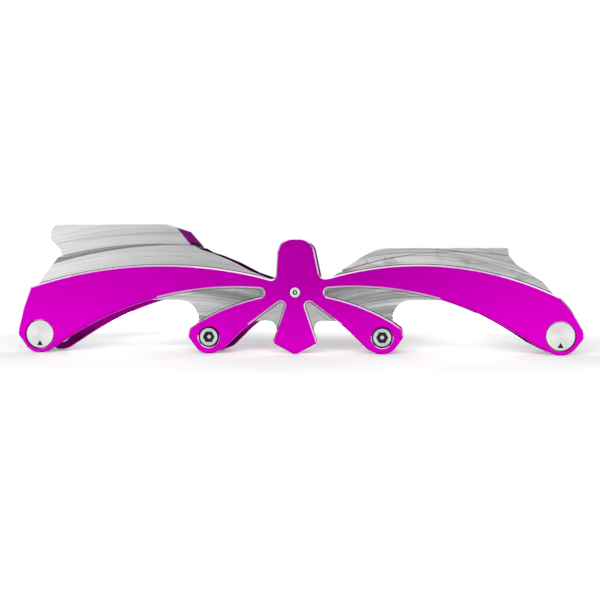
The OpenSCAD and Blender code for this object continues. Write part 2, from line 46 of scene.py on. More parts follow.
bodyOf = {node: body for body, nodes in frame["record"]["behaviour"]["bodies"].items() for node in nodes}


def linear(hexText):  # sRGB hex to a linear colour
    parts = [int(hexText[i:i + 2], 16) / 255 for i in (1, 3, 5)]
    return [c / 12.92 if c <= 0.04045 else ((c + 0.055) / 1.055) ** 2.4 for c in parts] + [1]


def put(tree, kind, inputs=None, **settings):  # one node with its settings and links
    node = tree.nodes.new(kind)
    for name, value in settings.items():
        setattr(node, name, value)
    for key, value in (inputs or {}).items():
        if isinstance(value, bpy.types.NodeSocket):
            tree.links.new(value, node.inputs[key])
        else:
            node.inputs[key].default_value = value
    return node


def perMetre(sizeMm):  # texture scale for a pattern of that size
    return 1 / (sizeMm * mm)


def startMaterial(name, roughness, metallic=1):
    material = bpy.data.materials.new(name)
    material.use_nodes = True
    tree = material.node_tree
    tree.nodes.clear()
    shader = put(tree, "ShaderNodeBsdfPrincipled", {"Metallic": metallic, "Roughness": roughness})
    out = put(tree, "ShaderNodeOutputMaterial", {"Surface": shader.outputs["BSDF"]})
    out.is_active_output = True
    return material, tree, shader


def seenByCamera(tree):  # 1 for what the camera sees, straight or through something clear
    ray = put(tree, "ShaderNodeLightPath")
    return put(tree, "ShaderNodeMath", {
        0: ray.outputs["Is Camera Ray"], 1: ray.outputs["Is Transmission Ray"],
    }, operation="MAXIMUM").outputs[0]


# Camera: the photograph's place and lens, a hand's height over the floor
cameraSet = {
    "place": (0.04718, -0.525995, 0.028756), "yaw": 5.047, "pitch": -0.409, "roll": 0.079,
    "lens": 65.77, "sensor": 36, "near": 0.01,
}
cameraData = bpy.data.cameras.new("camera")
cameraData.lens = cameraSet["lens"]
cameraData.sensor_width = cameraSet["sensor"]
cameraData.clip_start = cameraSet["near"]
camera = bpy.data.objects.new("camera", cameraData)
camera.location = cameraSet["place"]
turns = (90 + cameraSet["pitch"], -cameraSet["roll"], cameraSet["yaw"])
camera.rotation_euler = [math.radians(turn) for turn in turns]
scene.collection.objects.link(camera)
scene.camera = camera

# Room: white to the eye; the metal also shows its dim end behind the camera and a dim belt under the ceiling
room = {
    "colour": "#FFFFFF", "ambient": 0.12, "dimAt": (-0.044, 0.0105), "dimLeft": 0.29, "dimRight": 0.165,
    "dimBelow": 0.063, "dimAbove": (0.2, 0.4), "dimEnd": 0.5,
    "belt": ((-1.0, 0.6), (-0.6, 0.7), (-0.3, 0.86), (-0.12, 0.95), (0.2, 0.98), (0.42, 0.5), (0.6, 0.2),
             (0.72, 0.3), (0.82, 0.94), (0.95, 0.98)),
}
world = bpy.data.worlds.new("room")
scene.world = world
world.use_nodes = True
tree = world.node_tree
tree.nodes.clear()
way = put(tree, "ShaderNodeSeparateXYZ", {0: put(tree, "ShaderNodeTexCoord").outputs["Generated"]})


def beyond(axis, start, full):  # 0 at one place along a direction's axis and 1 at another
    return put(tree, "ShaderNodeMapRange", {
        "Value": way.outputs[axis], "From Min": start, "From Max": full,
    }, clamp=False).outputs["Result"]


def larger(first, second):
    return put(tree, "ShaderNodeMath", {0: first, 1: second}, operation="MAXIMUM").outputs[0]


dimX, dimZ = room["dimAt"]
across = larger(beyond("X", dimX, dimX - room["dimLeft"]), beyond("X", dimX, dimX + room["dimRight"]))
upright = larger(beyond("Z", dimZ, dimZ - room["dimBelow"]), larger(beyond("Z", *room["dimAbove"]), 0.0))
away = put(tree, "ShaderNodeCombineXYZ", {"X": across, "Y": upright})
away = put(tree, "ShaderNodeVectorMath", {0: away.outputs[0]}, operation="LENGTH")
dimEnd = put(tree, "ShaderNodeMapRange", {"Value": away.outputs["Value"], "To Min": room["dimEnd"]})
height = put(tree, "ShaderNodeMapRange", {"Value": way.outputs["Z"], "From Min": -1.0})
belt = put(tree, "ShaderNodeValToRGB", {"Fac": height.outputs["Result"]})
belt.color_ramp.interpolation = "EASE"
for step, (z, tone) in enumerate(room["belt"]):  # a new ramp has two stops already
    stop = belt.color_ramp.elements[step] if step < 2 else belt.color_ramp.elements.new(1.0)
    stop.position = (z + 1) / 2
    stop.color = (tone, tone, tone, 1)
shade = put(tree, "ShaderNodeMath", {
    0: belt.outputs["Color"], 1: dimEnd.outputs["Result"],
}, operation="MULTIPLY")
level = put(tree, "ShaderNodeMix", {
    "Factor": put(tree, "ShaderNodeLightPath").outputs["Is Glossy Ray"], "A": room["ambient"],
    "B": shade.outputs[0],
})
level = put(tree, "ShaderNodeMix", {"Factor": seenByCamera(tree), "A": level.outputs["Result"], "B": 1.0})
back = put(tree, "ShaderNodeBackground", {
    "Color": linear(room["colour"]), "Strength": level.outputs["Result"],
})
put(tree, "ShaderNodeOutputWorld", {"Surface": back.outputs[0]})

# Board, painted white: a dull, even floor that keeps the shadow and fades to plain white away from the part
floorSet = {
    "half": 8.0, "dropMm": 0.02, "colour": "#F2F2F2", "roughness": 0.9,
    "glow": "#FFFFFF", "whiteFrom": 0.25, "whiteAt": 0.8,
}
material, tree, shader = startMaterial("board, painted white", floorSet["roughness"], 0)
shader.inputs["Base Color"].default_value = linear(floorSet["colour"])
shader.inputs["Specular IOR Level"].default_value = 0
shader.inputs["Emission Color"].default_value = linear(floorSet["glow"])
spot = put(tree, "ShaderNodeVectorMath", {
    0: put(tree, "ShaderNodeTexCoord").outputs["Object"],
}, operation="LENGTH")
far = put(tree, "ShaderNodeMapRange", {
    "Value": spot.outputs["Value"], "From Min": floorSet["whiteFrom"], "From Max": floorSet["whiteAt"],
}, interpolation_type="SMOOTHSTEP")
glow = put(tree, "ShaderNodeMath", {0: seenByCamera(tree), 1: far.outputs["Result"]}, operation="MULTIPLY")
tree.links.new(glow.outputs[0], shader.inputs["Emission Strength"])
half, drop = floorSet["half"], -floorSet["dropMm"] * mm
corners = [(-half, -half, drop), (half, -half, drop), (half, half, drop), (-half, half, drop)]
floorMesh = bpy.data.meshes.new("floor")
floorMesh.from_pydata(corners, [], [(0, 1, 2, 3)])
floorMesh.materials.append(material)
floorBoard = bpy.data.objects.new("floor", floorMesh)
floorBoard.visible_glossy = False
scene.collection.objects.link(floorBoard)

# Lamps: a large soft box overhead, and for the floor only a low strip before and behind, and behind each arch
# a small lamp with a grid, whose narrow beam clears the floor under that arch
lamps = {
    "overhead": {"place": (0, 0.2, 1.2), "towards": (0, 0, 0.02), "size": (2.2, 1.4), "watts": 2.4,
                 "spread": 180, "onMetal": True},
    "stripFront": {"place": (0, -1.0, 0.2), "towards": (0, 0, 0), "size": (0.75, 0.34), "watts": 34.0,
                   "spread": 180, "onMetal": False},
    "stripBack": {"place": (0, 1.0, 0.12), "towards": (0, 0, 0), "size": (1.0, 0.2), "watts": 32.0,
                  "spread": 180, "onMetal": False},
    "gridRear": {"place": (-0.1, 0.9, 0.2), "towards": (-0.1, 0.115, 0), "size": (0.01, 0.01),
                 "watts": 0.0115, "spread": 6, "onMetal": False},
    "gridFront": {"place": (0.085, 0.9, 0.2), "towards": (0.085, 0.115, 0), "size": (0.01, 0.01),
                  "watts": 0.0105, "spread": 6, "onMetal": False},
}
for name, lamp in lamps.items():
    data = bpy.data.lights.new(name, "AREA")
    data.shape = "RECTANGLE"
    data.size, data.size_y = lamp["size"]
    data.energy = lamp["watts"]
    data.spread = math.radians(lamp["spread"])
    light = bpy.data.objects.new(name, data)
    light.location = lamp["place"]
    beam = Vector(lamp["towards"]) - Vector(lamp["place"])
    light.rotation_euler = beam.to_track_quat("-Z", "Y").to_euler()
    light.visible_camera = False
    light.visible_glossy = lamp["onMetal"]
    scene.collection.objects.link(light)
print("camera, room, floor and lamps are set")

# Aluminium, bead-blasted and dyed anodised: satin, with a colour that changes with height as painted shade,
# and a very fine grain, which is drawn coarser than blasting leaves it so that it shows close up
grain = {"sizeMm": 0.3, "depthMm": 0.002, "bump": 0.25, "smoother": 0.03, "rougher": 0.04}
# The plate's colour is a little lighter low down and darker high up: painted shade
anodised = {"low": "#E800D4", "high": "#D800C7", "betweenMm": (4, 40), "roughness": 0.17}
# Pocket side: the dye turns near black low down and again from 27 mm up, painted shade low in the channel and
# under the blocks
pocket = {"low": "#66005E", "high": "#DC00CA", "betweenMm": (5, 14), "roughness": 0.34,
          "top": "#4E004A", "topMm": (27, 35)}
# Edges: near black below 44 mm and magenta above 50 mm, painted shade on the plates' side faces in the gap to
# the walls and at the foot of the rear block's slope
edgeDyeAndShade = {"low": "#4A0046", "high": "#B000A6", "betweenMm": (44, 50), "roughness": 0.4,
           "top": "#B000A6", "topMm": (40, 60)}


def shadeByHeight(tree, height, betweenMm, below, above):  # painted shade: one colour below, one above and a soft change between
    shadeBlend = put(tree, "ShaderNodeMapRange", {
        "Value": height, "From Min": betweenMm[0] * mm, "From Max": betweenMm[1] * mm,
    }, interpolation_type="SMOOTHSTEP")
    dye = put(tree, "ShaderNodeMix", {0: shadeBlend.outputs["Result"], 6: below, 7: above}, data_type="RGBA")
    return dye.outputs[2]


def dyedAnodised(name, low, high, betweenMm, roughness, top=None, topMm=None):
    material, tree, shader = startMaterial(name, roughness)
    place = put(tree, "ShaderNodeTexCoord").outputs["Object"]
    height = put(tree, "ShaderNodeSeparateXYZ", {0: place}).outputs["Z"]
    dye = shadeByHeight(tree, height, betweenMm, linear(low), linear(high))
    if top:
        dye = shadeByHeight(tree, height, topMm, dye, linear(top))
    blasted = put(tree, "ShaderNodeTexNoise", {
        "Vector": place, "Scale": perMetre(grain["sizeMm"]), "Detail": 1.0,
    })
    rough = put(tree, "ShaderNodeMapRange", {
        "Value": blasted.outputs["Fac"], "To Min": roughness - grain["smoother"],
        "To Max": roughness + grain["rougher"],
    })
    bump = put(tree, "ShaderNodeBump", {
        "Strength": grain["bump"], "Distance": grain["depthMm"] * mm, "Height": blasted.outputs["Fac"],
    })
    shader.inputs["Specular Tint"].default_value = linear(high)
    tree.links.new(dye, shader.inputs["Base Color"])
    tree.links.new(rough.outputs["Result"], shader.inputs["Roughness"])
    tree.links.new(bump.outputs["Normal"], shader.inputs["Normal"])
    return material


plateDyeAndShade = dyedAnodised("aluminium, dyed anodised", **anodised)
pocketDyeAndShade = dyedAnodised("aluminium, dyed anodised, pocket side, painted shade", **pocket)
deepDyeAndShade = dyedAnodised("aluminium, dyed anodised, edges, painted shade", **edgeDyeAndShade)

# Aluminium, milled in long arcs: bright grey with the tool's passes as streaks along the arcs, and on handled
# metal a few darker stains. The last setting of each cut is painted shade: where along the frame the
# darkening starts and ends, and how dark it starts
milled = {
    "roughness": 0.24, "polish": 0.08, "passMm": 0.7, "passDepthMm": 0.006, "bump": 0.6, "bandMm": 2.4,
    "bandShare": 0.5, "runMm": 34, "streak": (0.34, 0.6), "rearCentre": (-62.4, -156.4),
    "frontCentre": (56.8, -102.8), "stain": "#8F897F", "stainMm": (9, 5), "stainEdge": (0.52, 0.72),
    "stainDetail": 6.0, "stainRagged": 0.65, "stainWarp": 0.6,
}
# The last entry of each is painted shade: darker toward the middle on the walls and webs, toward the end in
# front
wallCut = {"light": "#F8F8F9", "dark": "#E2E2E4", "stains": 0.0, "paintedShade": (42, 115, 0.68)}
frontCut = {"light": "#F2F2F2", "dark": "#B4B4B2", "stains": 0.75, "paintedShade": (112, 60, 0.72)}
webCut = {"light": "#F4F4F5", "dark": "#9C9C9E", "stains": 0.3, "paintedShade": (18, 56, 0.5)}


def arcMilled(name, light, dark, stains, paintedShade):
    roughness, polish = milled["roughness"], milled["polish"]
    material, tree, shader = startMaterial(name, roughness)
    place = put(tree, "ShaderNodeTexCoord").outputs["Object"]
    parts = put(tree, "ShaderNodeSeparateXYZ", {0: place})
    flat = put(tree, "ShaderNodeCombineXYZ", {"X": parts.outputs["X"], "Z": parts.outputs["Z"]})
    radii = []
    for x, z in (milled["rearCentre"], milled["frontCentre"]):
        radii.append(put(tree, "ShaderNodeVectorMath", {
            0: flat.outputs[0], 1: (x * mm, 0, z * mm),
        }, operation="DISTANCE").outputs["Value"])
    fore = put(tree, "ShaderNodeMath", {0: parts.outputs["X"], 1: 0.0}, operation="GREATER_THAN")
    radius = put(tree, "ShaderNodeMix", {"Factor": fore.outputs[0], "A": radii[0], "B": radii[1]})
    along = put(tree, "ShaderNodeMath", {
        0: parts.outputs["X"], 1: milled["passMm"] / milled["runMm"],
    }, operation="MULTIPLY")
    path = put(tree, "ShaderNodeCombineXYZ", {"X": along.outputs[0], "Y": radius.outputs["Result"]})
    passes = put(tree, "ShaderNodeTexNoise", {
        "Vector": path.outputs[0], "Scale": perMetre(milled["passMm"]), "Detail": 2.0,
    })
    bands = put(tree, "ShaderNodeTexNoise", {
        "Vector": path.outputs[0], "Scale": perMetre(milled["bandMm"]), "Detail": 1.0,
    })
    both = put(tree, "ShaderNodeMix", {
        "Factor": milled["bandShare"], "A": passes.outputs["Fac"], "B": bands.outputs["Fac"],
    })
    streak = put(tree, "ShaderNodeMapRange", {
        "Value": both.outputs["Result"], "From Min": milled["streak"][0], "From Max": milled["streak"][1],
    })
    tone = put(tree, "ShaderNodeMix", {
        0: streak.outputs["Result"], 6: linear(dark), 7: linear(light),
    }, data_type="RGBA")
    wide, high = [perMetre(size) for size in milled["stainMm"]]
    spots = put(tree, "ShaderNodeVectorMath", {0: place, 1: (wide, wide, high)}, operation="MULTIPLY")
    patch = put(tree, "ShaderNodeTexNoise", {
        "Vector": spots.outputs[0], "Scale": 1.0, "Detail": milled["stainDetail"],
        "Roughness": milled["stainRagged"], "Distortion": milled["stainWarp"],
    })
    stained = put(tree, "ShaderNodeMapRange", {
        "Value": patch.outputs["Fac"], "From Min": milled["stainEdge"][0], "From Max": milled["stainEdge"][1],
        "To Max": stains,
    })
    tone = put(tree, "ShaderNodeMix", {
        0: stained.outputs["Result"], 6: tone.outputs[2], 7: linear(milled["stain"]),
    }, data_type="RGBA")
    # Painted shade: the tone darkens along the frame's length
    length = put(tree, "ShaderNodeMath", {0: parts.outputs["X"]}, operation="ABSOLUTE")
    paintedShadeFactor = put(tree, "ShaderNodeMapRange", {
        "Value": length.outputs[0], "From Min": paintedShade[0] * mm, "From Max": paintedShade[1] * mm, "To Min": paintedShade[2],
    })
    tone = put(tree, "ShaderNodeMix", {
        0: 1.0, 6: tone.outputs[2], 7: paintedShadeFactor.outputs["Result"],
    }, data_type="RGBA", blend_type="MULTIPLY")
    rough = put(tree, "ShaderNodeMapRange", {
        "Value": passes.outputs["Fac"], "To Min": roughness + polish, "To Max": roughness - polish,
    })
    bump = put(tree, "ShaderNodeBump", {
        "Strength": milled["bump"], "Distance": milled["passDepthMm"] * mm, "Height": passes.outputs["Fac"],
    })
    tree.links.new(tone.outputs[2], shader.inputs["Base Color"])
    tree.links.new(rough.outputs["Result"], shader.inputs["Roughness"])
    tree.links.new(bump.outputs["Normal"], shader.inputs["Normal"])
    return material


wallMilled = arcMilled("aluminium, milled in arcs", **wallCut)
frontMilled = arcMilled("aluminium, milled in arcs, handled, painted shade", **frontCut)
webMilled = arcMilled("aluminium, milled in arcs, rough cut, painted shade", **webCut)

# Aluminium, diamond-cut after the dye: a bare bright edge with a faint pink tint
edgeCut = {"colour": "#FBE2F9", "roughness": 0.2, "chatterMm": 0.4, "chatterDepthMm": 0.003, "bump": 0.3}
cutBright, tree, shader = startMaterial("aluminium, diamond-cut", edgeCut["roughness"])
shader.inputs["Base Color"].default_value = linear(edgeCut["colour"])
chatter = put(tree, "ShaderNodeTexNoise", {
    "Vector": put(tree, "ShaderNodeTexCoord").outputs["Object"], "Scale": perMetre(edgeCut["chatterMm"]),
})
bump = put(tree, "ShaderNodeBump", {
    "Strength": edgeCut["bump"], "Distance": edgeCut["chatterDepthMm"] * mm, "Height": chatter.outputs["Fac"],
})
tree.links.new(bump.outputs["Normal"], shader.inputs["Normal"])

# Steel, faced on a lathe: fine rings around the axle that fan the light out
turned = {"spread": 0.8, "ringMm": 0.3, "ringDepthMm": 0.004, "bump": 0.7, "smoother": 0.06, "rougher": 0.08}


def latheTurned(name, colour, roughness, centreMm):
    material, tree, shader = startMaterial(name, roughness)
    shader.inputs["Base Color"].default_value = linear(colour)
    shader.inputs["Anisotropic"].default_value = turned["spread"]
    place = put(tree, "ShaderNodeTexCoord").outputs["Object"]
    parts = put(tree, "ShaderNodeSeparateXYZ", {0: place})
    flat = put(tree, "ShaderNodeCombineXYZ", {"X": parts.outputs["X"], "Z": parts.outputs["Z"]})
    centre = (centreMm[0] * mm, 0, centreMm[1] * mm)
    arm = put(tree, "ShaderNodeVectorMath", {0: flat.outputs[0], 1: centre}, operation="SUBTRACT")
    radius = put(tree, "ShaderNodeVectorMath", {0: arm.outputs[0]}, operation="LENGTH")
    rings = put(tree, "ShaderNodeCombineXYZ", {"X": radius.outputs["Value"], "Y": parts.outputs["Y"]})
    groove = put(tree, "ShaderNodeTexNoise", {
        "Vector": rings.outputs[0], "Scale": perMetre(turned["ringMm"]), "Detail": 2.0,
    })
    rough = put(tree, "ShaderNodeMapRange", {
        "Value": groove.outputs["Fac"], "To Min": roughness - turned["smoother"],
        "To Max": roughness + turned["rougher"],
    })
    bump = put(tree, "ShaderNodeBump", {
        "Strength": turned["bump"], "Distance": turned["ringDepthMm"] * mm, "Height": groove.outputs["Fac"],
    })
    outward = put(tree, "ShaderNodeVectorTransform", {0: arm.outputs[0]}, vector_type="VECTOR",
                  convert_from="OBJECT", convert_to="WORLD")
    tree.links.new(rough.outputs["Result"], shader.inputs["Roughness"])
    tree.links.new(bump.outputs["Normal"], shader.inputs["Normal"])
    tree.links.new(outward.outputs[0], shader.inputs["Tangent"])
    return material


def uneven(tree, shader, noise, roughness, change):  # roughness that follows a noise up and down
    rough = put(tree, "ShaderNodeMapRange", {
        "Value": noise.outputs["Fac"], "To Min": roughness - change, "To Max": roughness + change,
    })
    tree.links.new(rough.outputs["Result"], shader.inputs["Roughness"])


# Steel, black oxide: near black with a dull, cloudy sheen, in marks and on the hidden screws; in sockets and
# round the middle axles' heads it is painted shade
oxide = {"colour": "#3A3A3C", "roughness": 0.42, "change": 0.1, "cloudMm": 0.8}
blackOxideAndShade, tree, shader = startMaterial("steel, black oxide, painted shade in sockets", oxide["roughness"])
shader.inputs["Base Color"].default_value = linear(oxide["colour"])
cloud = put(tree, "ShaderNodeTexNoise", {
    "Vector": put(tree, "ShaderNodeTexCoord").outputs["Object"], "Scale": perMetre(oxide["cloudMm"]),
})
uneven(tree, shader, cloud, oxide["roughness"], oxide["change"])

# Aluminium, drawn tube: dull grey with faint lines along the tube
drawn = {"colour": "#B9BABD", "roughness": 0.38, "change": 0.1, "lineMm": 0.25, "stretch": (1, 0.04, 1)}
drawnTube, tree, shader = startMaterial("aluminium, drawn tube", drawn["roughness"])
shader.inputs["Base Color"].default_value = linear(drawn["colour"])
stretch = put(tree, "ShaderNodeVectorMath", {
    0: put(tree, "ShaderNodeTexCoord").outputs["Object"], 1: drawn["stretch"],
}, operation="MULTIPLY")
line = put(tree, "ShaderNodeTexNoise", {"Vector": stretch.outputs[0], "Scale": perMetre(drawn["lineMm"])})
uneven(tree, shader, line, drawn["roughness"], drawn["change"])
print("finishes are made:", len(bpy.data.materials))

# How close counts as the same place, how square counts as flat, and how far a sharp corner is drawn in
meshSet = {"joinMm": 0.002, "nearMm": 0.02, "flat": 0.999, "corner": 0.4, "smoothDeg": 30}


def cadCopy(node):  # a copy of a CAD node with its triangles joined up
    mesh = frame["nodes"][node].data.copy()
    mesh.attributes.remove(mesh.attributes["custom_normal"])
    bm = bmesh.new()
    bm.from_mesh(mesh)
    bpy.data.meshes.remove(mesh)
    bmesh.ops.remove_doubles(bm, verts=bm.verts, dist=meshSet["joinMm"] * mm)
    bm.normal_update()
    return bm


def flatAcross(axis, atMm):  # picks the flat faces across one axis at a distance from the middle
    def pick(face):
        hereMm = abs(face.calc_center_median()[axis]) / mm
        return abs(face.normal[axis]) > meshSet["flat"] and abs(hereMm - atMm) < meshSet["nearMm"]
    return pick


def spread(points):  # largest size of a rim, in mm
    return max(max(p[k] for p in points) - min(p[k] for p in points) for k in range(3)) / mm


def fromAxle(point, axleMm):  # distance of a point from an axle line, in mm
    return math.hypot(point.x / mm - axleMm[0], point.z / mm - axleMm[1])


def rimLoops(patch):  # closed rims of a flat patch, each as its vertices in order with the edges' inward ways
    onward = {}
    for face in patch:
        for loop in face.loops:
            if sum(f in patch for f in loop.edge.link_faces) == 1:
                here, ahead = loop.vert, loop.link_loop_next.vert
                inward = face.normal.cross(ahead.co - here.co).normalized()
                onward.setdefault(here, []).append((ahead, inward))
    rims, used = [], set()
    for start in onward:
        if start in used or len(onward[start]) > 1:
            continue
        rim, vert = [], start
        while vert not in used and len(onward.get(vert, ())) == 1:
            used.add(vert)
            ahead, inward = onward[vert][0]
            rim.append((vert, inward))
            vert = ahead
        if vert is start:
            rims.append(rim)
    return rims


def chamferRim(bm, onPatch, widthMm, slotIndex, overMm=0, underMm=math.inf):
    # cuts back at 45 degrees those rims of a flat patch whose size is between the two limits
    patch = {face for face in bm.faces if onPatch(face)}
    for rim in rimLoops(patch):
        if not overMm < spread([vert.co for vert, _ in rim]) < underMm:
            continue
        normal = next(f for f in rim[0][0].link_faces if f in patch).normal.copy()
        low = {vert: bm.verts.new(vert.co - normal * widthMm * mm) for vert, _ in rim}
        beside = {f for vert in low for f in vert.link_faces if f not in patch}
        for face in beside:
            fresh = bm.faces.new([low.get(v, v) for v in face.verts])
            fresh.material_index = face.material_index
        bmesh.ops.delete(bm, geom=list(beside), context="FACES")
        for i, (vert, _) in enumerate(rim):
            ahead = rim[(i + 1) % len(rim)][0]
            cut = bm.faces.new((ahead, vert, low[vert], low[ahead]))
            cut.material_index = slotIndex
        for i, (vert, inward) in enumerate(rim):
            before = rim[i - 1][1]
            vert.co += (before + inward) / max(meshSet["corner"], 1 + before.dot(inward)) * widthMm * mm
        patch = {face for face in bm.faces if face in patch}
    bm.normal_update()


def keepPiece(bm, node, materials, smoothDeg=meshSet["smoothDeg"]):
    for face in bm.faces:
        face.smooth = True
    for edge in bm.edges:
        edge.smooth = edge.calc_face_angle(math.pi) < math.radians(smoothDeg)
    mesh = bpy.data.meshes.new(node + "_finished")
    bm.to_mesh(mesh)
    bm.free()
    for material in materials:
        mesh.materials.append(material)
    piece = bpy.data.objects.new(node + "_finished", mesh)
    scene.collection.objects.link(piece)
    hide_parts(node)
    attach(piece, bodyOf[node])


# Side plates: a bright cut along the edges and dye on the faces; painted shade in the dye kept on the free
# undersides, the dark edge dye on the other edges and the pocket dye in the disc holes
sidePlate = {
    "faceMm": 19.0, "chamferMm": 0.6, "holeChamferMm": 0.1, "holeSizesMm": (12, 20), "discMm": (121.5, 8.8),
    "discHoleMm": 7.2, "fieldsMm": (66, 14.5), "facing": 0.95, "under": -0.14, "edgeOn": 0.3,
}
onFace, onCut, inHole, onEdge = range(4)
reachMm, lowMm = sidePlate["fieldsMm"]
discX, discZ = sidePlate["discMm"]
smallMm, largeMm = sidePlate["holeSizesMm"]
for node in ("right_side_plate", "left_side_plate"):
    bm = cadCopy(node)
    outside = flatAcross(1, sidePlate["faceMm"])
    chamferRim(bm, outside, sidePlate["chamferMm"], onCut, overMm=largeMm)
    chamferRim(bm, outside, sidePlate["holeChamferMm"], inHole, overMm=smallMm, underMm=largeMm)
    for face in bm.faces:
        middle = face.calc_center_median()
        free = abs(middle.x) > reachMm * mm or middle.z < lowMm * mm
        toDiscMm = min(fromAxle(middle, (x, discZ)) for x in (-discX, discX))
        # Painted shade: down-facing free undersides keep the dye instead of the bright cut, side faces take
        # the dark edge dye, disc holes the pocket dye
        if abs(face.normal.y) > sidePlate["facing"] or (free and face.normal.z < sidePlate["under"]):
            face.material_index = onFace
        elif toDiscMm < sidePlate["discHoleMm"]:
            face.material_index = inHole
        else:
            face.material_index = onEdge if abs(face.normal.y) < sidePlate["edgeOn"] else onCut
    keepPiece(bm, node, [plateDyeAndShade, cutBright, pocketDyeAndShade, deepDyeAndShade])

# Walls: milled outside and under the lips, more streaked and stained in the webs over the arms, dyed inside
# and on free edges; painted shade toward the middle and in the dye, low down and high up
wallSet = {
    "faceMm": 18.2, "chamferMm": 0.2, "milledFromMm": 17.1, "websBelowMm": 32, "websWithinMm": 70,
    "arm": (28.6, 0.51), "lips": ((-118, -48, 44), (21, 99, 37)), "lipSlope": 0.5, "smoothDeg": 14,
}
plain, rougher, handled, inside = range(4)
armMm, armFall = wallSet["arm"]
for node in ("right_wall", "left_wall"):
    bm = cadCopy(node)
    for face in bm.faces:
        middle = face.calc_center_median() / mm
        atLip = any(x0 < middle.x < x1 and middle.z > z for x0, x1, z in wallSet["lips"])
        underLip = atLip and face.normal.z > wallSet["lipSlope"]
        web = middle.z < wallSet["websBelowMm"] and abs(middle.x) < wallSet["websWithinMm"]
        underArm = middle.z < armMm - armFall * abs(middle.x)
        # Painted shade: the inside takes the pocket dye, darker low down and high up
        if abs(middle.y) <= wallSet["milledFromMm"] and not underLip:
            face.material_index = inside
        elif web:
            face.material_index = plain if underArm else rougher
        else:
            face.material_index = handled if middle.x > 0 else plain
    chamferRim(bm, flatAcross(1, wallSet["faceMm"]), wallSet["chamferMm"], plain)
    finishes = [wallMilled, webMilled, frontMilled, pocketDyeAndShade]
    keepPiece(bm, node, finishes, wallSet["smoothDeg"])

# Mount blocks: milled all over, with dye left on the rear block's slope, darker at its foot as painted shade
blockSet = {
    "faceMm": 18.5, "chamferMm": 0.3, "holeChamferMm": 0.5, "holeSizeMm": 20, "slopeFromMm": 47,
    "slope": 0.45, "edgeOn": 0.3, "smoothDeg": 14,
}
bare, dyed = range(2)
for node, finish in (("rear_mount_block", wallMilled), ("front_mount_block", frontMilled)):
    bm = cadCopy(node)
    topMm = max(v.co.z for v in bm.verts) / mm
    chamferRim(bm, flatAcross(2, topMm), blockSet["holeChamferMm"], bare, underMm=blockSet["holeSizeMm"])
    chamferRim(bm, flatAcross(1, blockSet["faceMm"]), blockSet["chamferMm"], bare)
    for face in bm.faces:
        middle = face.calc_center_median()
        slope = face.normal.x > blockSet["slope"] and abs(face.normal.y) < blockSet["edgeOn"]
        high = middle.z > blockSet["slopeFromMm"] * mm
        # the slope takes the edge dye, whose darker foot is painted shade
        face.material_index = dyed if slope and high and middle.x < 0 else bare
    keepPiece(bm, node, [finish, deepDyeAndShade], blockSet["smoothDeg"])
print("plates, walls and blocks are finished")

# Thread of the axle screws: a ridge wound round the thinned shank
threadSet = {
    "pitchMm": 0.8, "ridgeMm": 0.3, "ridgeSides": 4, "coreMm": 2.18, "shankMm": 2.5, "stepsPerTurn": 20,
}
threadTree = bpy.data.node_groups.new("screw thread", "GeometryNodeTree")
threadInputs = {
    "Turns": "NodeSocketFloat", "Radius": "NodeSocketFloat", "Length": "NodeSocketFloat",
    "Ridge": "NodeSocketFloat", "Place": "NodeSocketVector", "Finish": "NodeSocketMaterial",
}
for name, kind in threadInputs.items():
    threadTree.interface.new_socket(name=name, in_out="INPUT", socket_type=kind)
threadTree.interface.new_socket(name="Geometry", in_out="OUTPUT", socket_type="NodeSocketGeometry")
given = put(threadTree, "NodeGroupInput").outputs
wound = put(threadTree, "GeometryNodeCurveSpiral", {
    "Resolution": threadSet["stepsPerTurn"], "Rotations": given["Turns"], "Start Radius": given["Radius"],
    "End Radius": given["Radius"], "Height": given["Length"],
})
wound = put(threadTree, "GeometryNodeSetCurveNormal", {"Curve": wound.outputs["Curve"]}, mode="Z_UP")
ridge = put(threadTree, "GeometryNodeCurvePrimitiveCircle", {
    "Resolution": threadSet["ridgeSides"], "Radius": given["Ridge"],
})
swept = put(threadTree, "GeometryNodeCurveToMesh", {
    "Curve": wound.outputs["Curve"], "Profile Curve": ridge.outputs["Curve"], "Fill Caps": True,
})
laid = put(threadTree, "GeometryNodeTransform", {
    "Geometry": swept.outputs["Mesh"], "Translation": given["Place"], "Rotation": (-math.pi / 2, 0, 0),
})
whole = put(threadTree, "GeometryNodeRealizeInstances", {"Geometry": laid.outputs["Geometry"]})
coated = put(threadTree, "GeometryNodeSetMaterial", {
    "Geometry": whole.outputs["Geometry"], "Material": given["Finish"],
})
put(threadTree, "NodeGroupOutput", {"Geometry": coated.outputs["Geometry"]})


def cutThread(bm, axleMm, fromMm, toMm, finish):  # thins the shank and winds the ridge round it
    for vert in bm.verts:
        arm = Vector((vert.co.x - axleMm[0] * mm, vert.co.z - axleMm[1] * mm))
        if abs(arm.length / mm - threadSet["shankMm"]) < meshSet["nearMm"]:
            arm *= threadSet["coreMm"] / threadSet["shankMm"]
            vert.co.x, vert.co.z = axleMm[0] * mm + arm.x, axleMm[1] * mm + arm.y
    holder = bpy.data.objects.new("threadHolder", bpy.data.meshes.new("threadHolder"))
    scene.collection.objects.link(holder)
    winding = holder.modifiers.new("thread", "NODES")
    winding.node_group = threadTree
    values = {
        "Turns": (toMm - fromMm) / threadSet["pitchMm"], "Radius": threadSet["coreMm"] * mm,
        "Length": (toMm - fromMm) * mm, "Ridge": threadSet["ridgeMm"] * mm,
        "Place": (axleMm[0] * mm, fromMm * mm, axleMm[1] * mm), "Finish": finish,
    }
    for socket in threadTree.interface.items_tree:
        if socket.in_out == "INPUT":
            winding[socket.identifier] = values[socket.name]
    thread = bpy.data.meshes.new_from_object(holder.evaluated_get(bpy.context.evaluated_depsgraph_get()))
    bm.from_mesh(thread)
    bpy.data.objects.remove(holder)
    bpy.data.meshes.remove(thread)


